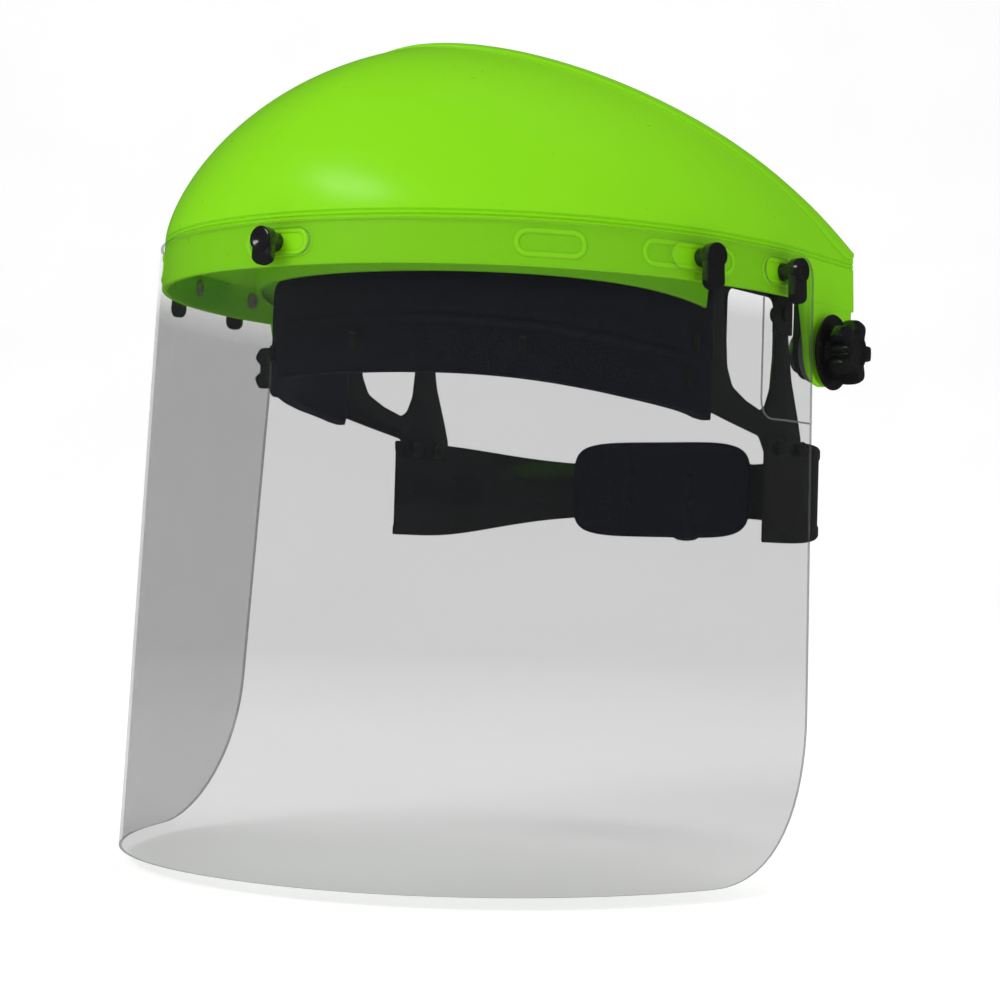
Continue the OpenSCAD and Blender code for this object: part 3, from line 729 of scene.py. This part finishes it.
def add_block(bm, low, high, bevel, place):
    """A block with rounded edges between two corners in mm."""
    middle = ((low[1] + high[1]) / 2, (low[2] + high[2]) / 2)
    corners = [(low[1], low[2]), (high[1], low[2]), (high[1], high[2]), (low[1], high[2])]
    outline = fillet(corners, bevel * 1.5, 4)
    add_plate(bm, radial(outline, middle, 48), middle, low[0], high[0], bevel, place)


def build_headband():
    bm = bmesh.new()
    loops = []
    for t in evenly(-SWEEP_END, SWEEP_END, 96):
        foot = brow_foot(t) + 2.8
        section = [(0, foot + 0.5), (0, BAND_TOP - 0.5), (-0.3, BAND_TOP), (0.3 - BAND_T, BAND_TOP),
                   (-BAND_T, BAND_TOP - 0.5), (-BAND_T, foot + 0.5), (0.3 - BAND_T, foot), (-0.3, foot)]
        loops.append([carried(brow(t, g, z)) for g, z in section])
    add_loft(bm, loops)
    centre = (24, -31)
    for _, _, mirror in both_sides():
        place = mirror @ Matrix.Translation(carried((0, 0, 0)))
        add_plate(bm, radial(fillet(PLATE, 4), centre), centre, BAND_W - BAND_T, BAND_W, 0.35, place,
                  hole=radial(fillet(WINDOW, 5), centre))
        near, far = PIVOT_Y - ARM_W / 2, PIVOT_Y + ARM_W / 2
        add_block(bm, (BAND_W - 1, near, PLATE_TOP - ARM_T), (ARM_X + 1, far, PLATE_TOP), 0.5, place)
        arm = [(near, PLATE_TOP), (far, PLATE_TOP)] + arc(PIVOT_Y, PIVOT_Z, ARM_W / 2, 0, -180, 24)
        middle = (PIVOT_Y, (PLATE_TOP + PIVOT_Z) / 2)
        add_plate(bm, radial(fillet(arm, 1.2, 3), middle, 120), middle, ARM_X, ARM_X + ARM_T, 0.5, place)
    for angle, level in PEGS:
        turn = Matrix.Rotation(math.radians(angle - 90), 4, "Z")
        place = Matrix.Translation(carried(brow(angle, 0, level))) @ turn
        add_block(bm, (-0.8, -1.2, -3), (3.4, 1.2, 3), 0.45, place)
    return piece("headband_frame", bm, "headgear", black_gloss, ["headband"])


def pillow(share, power=0.5):
    """0 at both ends of a span and 1 in its middle."""
    return max(0, 4 * share * (1 - share)) ** power


def build_sweatband():
    """Terry cloth folded round the headband's lower edge, dented where the pegs hold it."""
    bm = bmesh.new()
    skin, pad, clear = 1.8, 4.2, 0.2
    back = -BAND_T - clear
    rows = 34
    past_end = SWEEP_END + 0.5
    loops = []
    for t in evenly(-past_end, past_end, 300):
        end = min(1, (past_end - abs(t)) / 2.2)
        squeeze = 0.35 + 0.65 * math.sqrt(end)
        foot, top = brow_foot(t) + 0.4 * (1 - end), BAND_TOP - 0.5 - 1.0 * (1 - end)

        def dent(z):
            d2 = min(((t - a) * 1.45) ** 2 + (z - level) ** 2 for a, level in PEGS)
            seam = math.exp(-((z - (foot + 17.5)) / 0.55) ** 2)
            return 0.9 * math.exp(-d2 / 22) + 0.45 * seam

        points = []
        for k in range(rows + 1):
            z = foot + (top - foot) * k / rows
            body = skin * (0.72 + 0.42 * pillow(k / rows, 0.35)) * squeeze
            wave = 0.22 * noise.noise(Vector((t * 0.16, z * 0.11, 2.0)))
            points.append((clear + body - dent(z) * squeeze + wave, z))
        points += [(clear + skin * 0.35 * squeeze, top + 0.25), (clear, top)]
        points += [(clear, foot + 2.9), (back, foot + 2.9), (back, top), (back - 0.5, top + 0.3)]
        for k in range(rows, -1, -1):
            z = foot + (top - foot) * k / rows
            body = pad * (0.62 + 0.42 * pillow(k / rows, 0.4)) * squeeze
            wave = 0.3 * noise.noise(Vector((t * 0.13, z * 0.1, 7.0)))
            points.append((back - body + wave, z))
        points += [(back - pad * 0.45, foot + 0.05), (back, foot - 0.15), (clear + 0.4, foot - 0.1)]
        loops.append([carried(brow(t, g, z)) for g, z in points])
    add_loft(bm, loops)
    band = piece("sweatband_terry", bm, "headgear", navy, ["sweatband"], sharp=60)
    return band


# ---------- top straps ----------

ARCH_H, ARCH_Z, STRAP_W, STRAP_T, STRAP_Y = 66, -10, 12.5, 1.6, 48.5
PIN_ANGLES = (6, 14)


def arch(t, g):
    """(x, z) of the arch over the head at angle t from its top, grown by g."""
    s, c = math.sin(math.radians(t)), max(0, math.cos(math.radians(t)))
    return (BAND_W + g) * math.copysign(abs(s) ** (2 / 2.4), s), ARCH_Z + (ARCH_H + g) * c ** (2 / 2.4)


def build_top_strap(name, mirror, upper):
    """A top strap with its row of adjusting holes."""
    stations = evenly(-12, 0, 3)[:-1] + evenly(0, 112, 56)
    lengths, flat_points = [0], []

    def at(s, side):
        if s < 0:
            return BAND_W + 0.15 + STRAP_T * side, ARCH_Z + s
        t = 90 - s
        lift = 0.15 + (STRAP_T + 0.1) * (min(1, max(0, (50 - abs(t)) / 20)) if upper else 0)
        return arch(t, lift + STRAP_T * side)

    for s in stations:
        flat_points.append(Vector(at(s, 0.5)))
        if len(flat_points) > 1:
            lengths.append(lengths[-1] + (flat_points[-1] - flat_points[-2]).length)

    def shape(u, v, side):
        i = min(max(bisect.bisect(lengths, u) - 1, 0), len(lengths) - 2)
        share = (u - lengths[i]) / (lengths[i + 1] - lengths[i])
        x, z = at(stations[i] + (stations[i + 1] - stations[i]) * share, side)
        return mirror @ carried((x, STRAP_Y + v, z))

    total, half = lengths[-1], STRAP_W / 2
    edge = [u for u in evenly(0, total, 50) if u <= total - half + 0.01]
    tip = arc(total - half, 0, half, -90, 90, 12)
    outline = [(u, -half) for u in edge] + tip + [(u, half) for u in edge[::-1]]
    pins = [lengths[min(range(len(stations)), key=lambda i: abs(stations[i] - (90 - s)))] for s in PIN_ANGLES]
    pitch = abs(pins[0] - pins[1])
    holes = []
    for k in range(-4, 6):
        u = min(pins) + k * pitch / 2
        if half + 1 < u < total - half:
            holes.append(arc(u, 0, 2, 0, 360, 16)[:-1])
    bm = bmesh.new()
    add_sheet(bm, outline, holes, (3, 3), shape)
    return piece(name + "_band", bm, "headgear", black_satin, [name])


# ---------- tilt pivots ----------

EAR_X = CROWN_W + 0.5
HUB_X, DISC_X, DISC_T, FLANGE_D = EAR_X + 0.1, EAR_X + 2.5, 1.4, 25.5
KNOB_X, KNOB_L, STAR_D, LOBES = DISC_X + DISC_T + 0.1, 9, 22, 5
BOLT_R = 3.25


def build_cup_washer(name, mirror):
    bm = bmesh.new()
    r, x, out = FLANGE_D / 2, DISC_X, DISC_X + DISC_T
    hub = [(HUB_X, BOLT_R), (HUB_X, 6.6), (HUB_X + 0.4, 7), (x - 0.6, 7), (x, 7.4)]
    rim = [(x, r - 0.7), (x + 0.15, r - 0.2), (x + 0.45, r), (x + 0.95, r), (x + 1.25, r - 0.25),
           (out, r - 0.8)]
    groove = [(out - 0.2, r - 1.6), (out - 0.25, r - 3), (out, r - 3.6), (out, BOLT_R)]
    add_lathe(bm, hub + rim + groove, mirror, 96)
    return piece(name + "_disc", bm, name, black_gloss, [name])


def star_radius(t):
    """Outline of the star grip: blunt lobes with deep round valleys."""
    c = math.cos(LOBES * t)
    s = min(1, max(0, (c + 0.55) / 1.15))
    return STAR_D / 2 * (0.62 + 0.38 * s * s * (3 - 2 * s))


def build_knob(name, mirror):
    """A star grip lofted from loops of (level, scale, share of the star in the outline)."""
    bm = bmesh.new()
    x, out = KNOB_X, KNOB_X + KNOB_L
    collar = [(x, 0.3, 0), (x, 0.84, 0), (x + 0.9, 0.86, 0), (x + 1.4, 0.8, 0.2), (x + 2, 0.93, 0.9)]
    grip = [(x + 2.6, 0.98, 1), (x + 4.2, 1, 1), (out - 2.2, 0.99, 1), (out - 1.2, 0.965, 1),
            (out - 0.5, 0.92, 1), (out - 0.12, 0.85, 1), (out, 0.74, 0.9)]
    face = [(out, 0.52, 0.5), (out - 0.2, 0.44, 0), (out - 0.8, 0.4, 0), (out - 1, 0.3, 0),
            (out - 1, 0.02, 0)]
    loops = []
    for level, scale, star in collar + grip + face:
        loop = []
        for i in range(160):
            t = 2 * math.pi * i / 160
            r = scale * (star * star_radius(t) + (1 - star) * STAR_D / 2)
            loop.append(mirror @ (Vector((level, r * math.cos(t), r * math.sin(t))) * MM))
        loops.append(loop)
    add_loft(bm, loops)
    return piece(name + "_star", bm, name, black_gloss, [name], sharp=50)


# ---------- rear straps and ratchet ----------

REAR_W, REAR_Y, REAR_D, FLAT_Y, REAR_T = 82.4, 50, 65, 113.5, 1.8
STRAP_FRONT, STRAP_TURN = 37, 76.3
RATCHET_Z, CHANNEL_H, RACK_HALF = -76, 22, 28
RACK_ROOT, RACK_START, TOOTH_H, PITCH = 6.05, 36, 1.8, math.pi
DIAL_D, DIAL_L, DIAL_Y, FLUTES = 40, 13, 120.4, 12


def rear_plan(t, g):
    s, c = math.sin(math.radians(t)), math.cos(math.radians(t))
    return (REAR_W + g) * c ** (2 / 3.3), min(FLAT_Y + g, REAR_Y + (REAR_D + g) * s ** (2 / 3.3))


def build_rear_strap(name, sign):
    """A rear strap that sweeps from its side plate into the ratchet, with its rack."""
    bm = bmesh.new()
    mirror = Matrix.Scale(sign, 4, (1, 0, 0))
    loops = []
    for i in range(-6, 101):
        t = STRAP_TURN * (max(0, i) / 100) ** 1.6
        s = math.sin(math.radians(t))
        low, high = -97 + 10.5 * s ** 1.5, -60 - 6 * s * s
        (px, py), (qx, qy) = rear_plan(t, 0), rear_plan(t, -REAR_T)
        if i < 0:
            py = qy = REAR_Y + (REAR_Y - STRAP_FRONT) * i / 6
        section = [(0, low + 0.6), (0, low + 3.2), (0.22, low + 4), (0.22, high - 4), (0, high - 3.2),
                   (0, high - 0.6), (0.2, high), (0.8, high), (1, high - 0.6), (1, low + 0.6), (0.8, low),
                   (0.2, low)]
        loops.append([mirror @ carried((px + (qx - px) * k, py + (qy - py) * k, z)) for k, z in section])
    add_loft(bm, loops)
    back, tip = CHANNEL_H / 2 - 0.3, RACK_ROOT - TOOTH_H
    teeth = [(RACK_START, back), (-RACK_HALF, back)]
    for k in range(-8, 9):
        x = PITCH * k
        teeth += [(x - 1, RACK_ROOT), (x - 0.25, tip), (x + 0.25, tip), (x + 1, RACK_ROOT)]
    teeth.append((RACK_START, RACK_ROOT))
    faces = (FLAT_Y - REAR_T, FLAT_Y)
    add_loft(bm, [[mirror @ carried((x, y, RATCHET_Z + sign * z)) for x, z in teeth] for y in faces])
    strap = piece(name + "_band", bm, None, black_gloss, [name], ride=False)
    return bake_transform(strap)


def build_ratchet_knob():
    """Round ratchet knob with finger flutes and a recessed screw."""
    bm = bmesh.new()
    r0, y = DIAL_D / 2, DIAL_Y
    out = DIAL_L
    rim = [(0, 0.15, 0), (0, 0.93, 0.6), (0.5, 0.975, 1), (1.4, 0.99, 1), (6, 1, 1), (out - 2.6, 0.985, 1),
           (out - 1, 0.95, 1), (out - 0.3, 0.89, 0.8), (out, 0.8, 0.3)]
    face = [(out - 0.15, 0.55, 0), (out - 0.1, 0.27, 0), (out - 0.4, 0.2, 0)]
    bore = [(out - 2.6, 0.185, 0), (out - 2.6, 0.155, 0), (5.5, 0.15, 0)]
    loops = []
    for level, scale, share in rim + face + bore:
        loop = []
        for i in range(240):
            t = 2 * math.pi * i / 240
            flute = 0.07 * share * (0.5 - 0.5 * math.cos(FLUTES * t)) ** 1.6
            r = r0 * scale * (1 - flute)
            loop.append(carried((r * math.cos(t), y + level, RATCHET_Z + r * math.sin(t))))
        loops.append(loop)
    add_loft(bm, loops, ring=True)
    return piece("ratchet_dial_grip", bm, "ratchet_dial", black_gloss,
                 ["ratchet_knob"], sharp=50)


PAD_W, PAD_H, PAD_T = 80, 38, 5.6


def build_nape_pad():
    """Curved terry pad between the ratchet and the nape: crowned, with two sewn channels."""
    bm = bmesh.new()
    low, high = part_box("nape_pad")
    middle = (low + high) / 2
    columns, rows = 72, 36
    half_x, half_z, depth = PAD_W / 2 * MM, PAD_H / 2 * MM, PAD_T * MM

    def side_point(u, v, front):
        corner = (abs(u) ** 5 + abs(v) ** 5) ** 0.2
        scale = max(abs(u), abs(v)) / corner if corner > 0 else 1
        x, z = u * half_x * scale, v * half_z * scale
        edge = 1 - max(abs(u), abs(v)) ** 3
        seams = sum(math.exp(-((u - s) / 0.035) ** 2) for s in (-0.36, 0.36))
        swell = max(0, edge) ** 0.4 * (1 - 0.38 * seams)
        y = high.y - 0.2 * MM - depth * 0.5 * (1 + swell * front)
        if front > 0:
            y -= 0.35 * depth * u * u
        return Vector((middle.x + x, max(low.y, y), middle.z + z))

    for front in (1, -0.92):
        grid = []
        for u in evenly(-1, 1, columns):
            grid.append([bm.verts.new(side_point(u, v, front)) for v in evenly(-1, 1, rows)])
        for i in range(columns):
            for j in range(rows):
                bm.faces.new((grid[i][j], grid[i + 1][j], grid[i + 1][j + 1], grid[i][j + 1]))
    pad = piece("nape_pad_terry", bm, "rear_adjuster", navy, ["nape_pad"], sharp=80)
    return pad


# ---------- CAD nodes that keep their shape ----------

# Each kept node's material and the radius of its rounded edges
KEPT = {
    "strap_pins": (black_satin, 0.25),
    "pivot_bolt_left": (bolt_steel, 0.3),
    "pivot_bolt_right": (bolt_steel, 0.3),
    "friction_washer_left": (washer_grey, 0.3),
    "friction_washer_right": (washer_grey, 0.3),
    "knob_insert_left": (brass, 0.2),
    "knob_insert_right": (brass, 0.2),
    "rear_strap_rivets": (black_satin, 0.3),
    "ratchet_housing": (black_satin, 0.6),
    "ratchet_cover": (black_satin, 0.6),
    "housing_screws": (bolt_steel, 0.25),
    "detent_ring": (washer_grey, 0.15),
    "pinion": (white_nylon, 0.12),
    "pawl_spring": (washer_grey, 0.2),
    "dial_screw": (bolt_steel, 0.3),
}


def dress_kept_nodes():
    """Gives each kept CAD node its material and a small rounding of its edges."""
    for name, (material, radius) in KEPT.items():
        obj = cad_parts[name]
        obj.data.materials.clear()
        obj.data.materials.append(material)
        weld = obj.modifiers.new("weld", "WELD")
        weld.merge_threshold = 1e-6
        bevel = obj.modifiers.new("round", "BEVEL")
        bevel.width = radius * MM
        bevel.segments = 3
        bevel.limit_method = "ANGLE"
        bevel.angle_limit = math.radians(40)
        obj.modifiers.new("normals", "WEIGHTED_NORMAL").keep_sharp = True


# ---------- stage ----------

FLOOR_GAP = 0.004
WORLD_DIFFUSE, WORLD_GLOSSY = 0.62, 0.04        # strength of the studio in diffuse light and in reflections


def build_floor():
    """A pale floor that curves up into a backdrop, just below the visor's foot."""
    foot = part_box("visor")[0].z - FLOOR_GAP
    bm = bmesh.new()
    bend, flat = 1.2, 1.6
    rows = [(-3, 0), (0, 0), (flat, 0)] + arc(flat, bend, bend, -90, 0, 16)[1:] + [(flat + bend, 4)]
    view = Vector((-0.561, 0.8273, 0)).normalized()
    across = Vector((view.y, -view.x, 0))
    grid = []
    for d, z in rows:
        grid.append([bm.verts.new(view * d + across * s + Vector((0, 0, foot + z))) for s in (-5, 0, 5)])
    for a, b in zip(grid, grid[1:]):
        for i in range(2):
            bm.faces.new((a[i], a[i + 1], b[i + 1], b[i]))
    mesh = bpy.data.meshes.new("floor")
    bm.to_mesh(mesh)
    bm.free()
    for p in mesh.polygons:
        p.use_smooth = True
    floor = bpy.data.objects.new("floor", mesh)
    bpy.context.scene.collection.objects.link(floor)
    m = Nodes("floor_paper")
    m.set(Roughness=0.9, Specular_IOR_Level=0.1, Emission_Color=(1, 1, 1, 1), Emission_Strength=0.24)
    m.socket("Base Color", m.ramp(m.noise(3, 2), [(0.3, tone((0.86,) * 3, 1)), (0.7, tone((0.89,) * 3, 1))]))
    mesh.materials.append(m.material)
    floor.visible_glossy = False


def add_light(name, at, size, power, mirrored=False):
    """An oval area light that faces the crown; mirrored lets it show in glossy surfaces."""
    data = bpy.data.lights.new(name, "AREA")
    data.shape, data.size, data.size_y = "ELLIPSE", size[0], size[1]
    data.energy = power
    obj = bpy.data.objects.new(name, data)
    obj.location = at
    obj.rotation_mode = "QUATERNION"
    obj.rotation_quaternion = (Vector((0, -0.02, 0)) - Vector(at)).to_track_quat("-Z", "Y")
    obj.visible_glossy = mirrored
    bpy.context.scene.collection.objects.link(obj)


def build_world():
    """A white studio for the camera, a softer one for diffuse light, and a dim one in reflections."""
    world = bpy.data.worlds.new("studio")
    world.use_nodes = True
    tree = world.node_tree
    sky = tree.nodes["Background"]
    sky.inputs["Color"].default_value = (1, 1, 1, 1)
    rays = tree.nodes.new("ShaderNodeLightPath")
    diffuse, glossy = tree.nodes.new("ShaderNodeMix"), tree.nodes.new("ShaderNodeMix")
    diffuse.inputs["A"].default_value, diffuse.inputs["B"].default_value = 1.0, WORLD_DIFFUSE
    glossy.inputs["B"].default_value = WORLD_GLOSSY
    tree.links.new(rays.outputs["Is Diffuse Ray"], diffuse.inputs["Factor"])
    tree.links.new(diffuse.outputs["Result"], glossy.inputs["A"])
    tree.links.new(rays.outputs["Is Glossy Ray"], glossy.inputs["Factor"])
    tree.links.new(glossy.outputs["Result"], sky.inputs["Strength"])
    bpy.context.scene.world = world


def build_stage():
    build_floor()
    build_world()
    add_light("key", (-0.38, -1.55, 1.02), (1.0, 0.7), 9.5)
    add_light("glint", (-0.30, -1.58, 0.86), (0.8, 0.45), 6, mirrored=True)
    add_light("side", (1.6, -0.6, 0.5), (0.8, 1.2), 5)
    add_light("top", (0.1, 0.6, 1.9), (1.4, 1.0), 12)
    bpy.context.scene.view_settings.view_transform = "Standard"


def build_camera():
    data = bpy.data.cameras.new("camera")
    data.lens, data.sensor_width = 79.87, 36
    data.clip_start, data.clip_end = 0.05, 30
    camera = bpy.data.objects.new("camera", data)
    right, up = Vector((0.8277, 0.5604, 0.029)), Vector((-0.0088, -0.0388, 0.9992))
    back = right.cross(up)
    turn = Matrix((right, up, back)).transposed().to_4x4()
    camera.matrix_world = Matrix.Translation((0.4445, -0.6779, -0.0729)) @ turn
    bpy.context.scene.collection.objects.link(camera)
    bpy.context.scene.camera = camera


build_camera()
build_crown()
for name, (side, station, _) in LATCHES.items():
    build_latch(name, side, station)
build_rivets()
build_visor()
build_score_line()
build_headband()
build_sweatband()
for name, sign, mirror in both_sides():
    build_top_strap("top_strap_" + name, mirror, upper=sign > 0)
    build_cup_washer("cup_washer_" + name, mirror)
    build_knob("tension_knob_" + name, mirror)
    build_rear_strap("rear_strap_" + name, sign)
build_ratchet_knob()
build_nape_pad()
dress_kept_nodes()
build_stage()
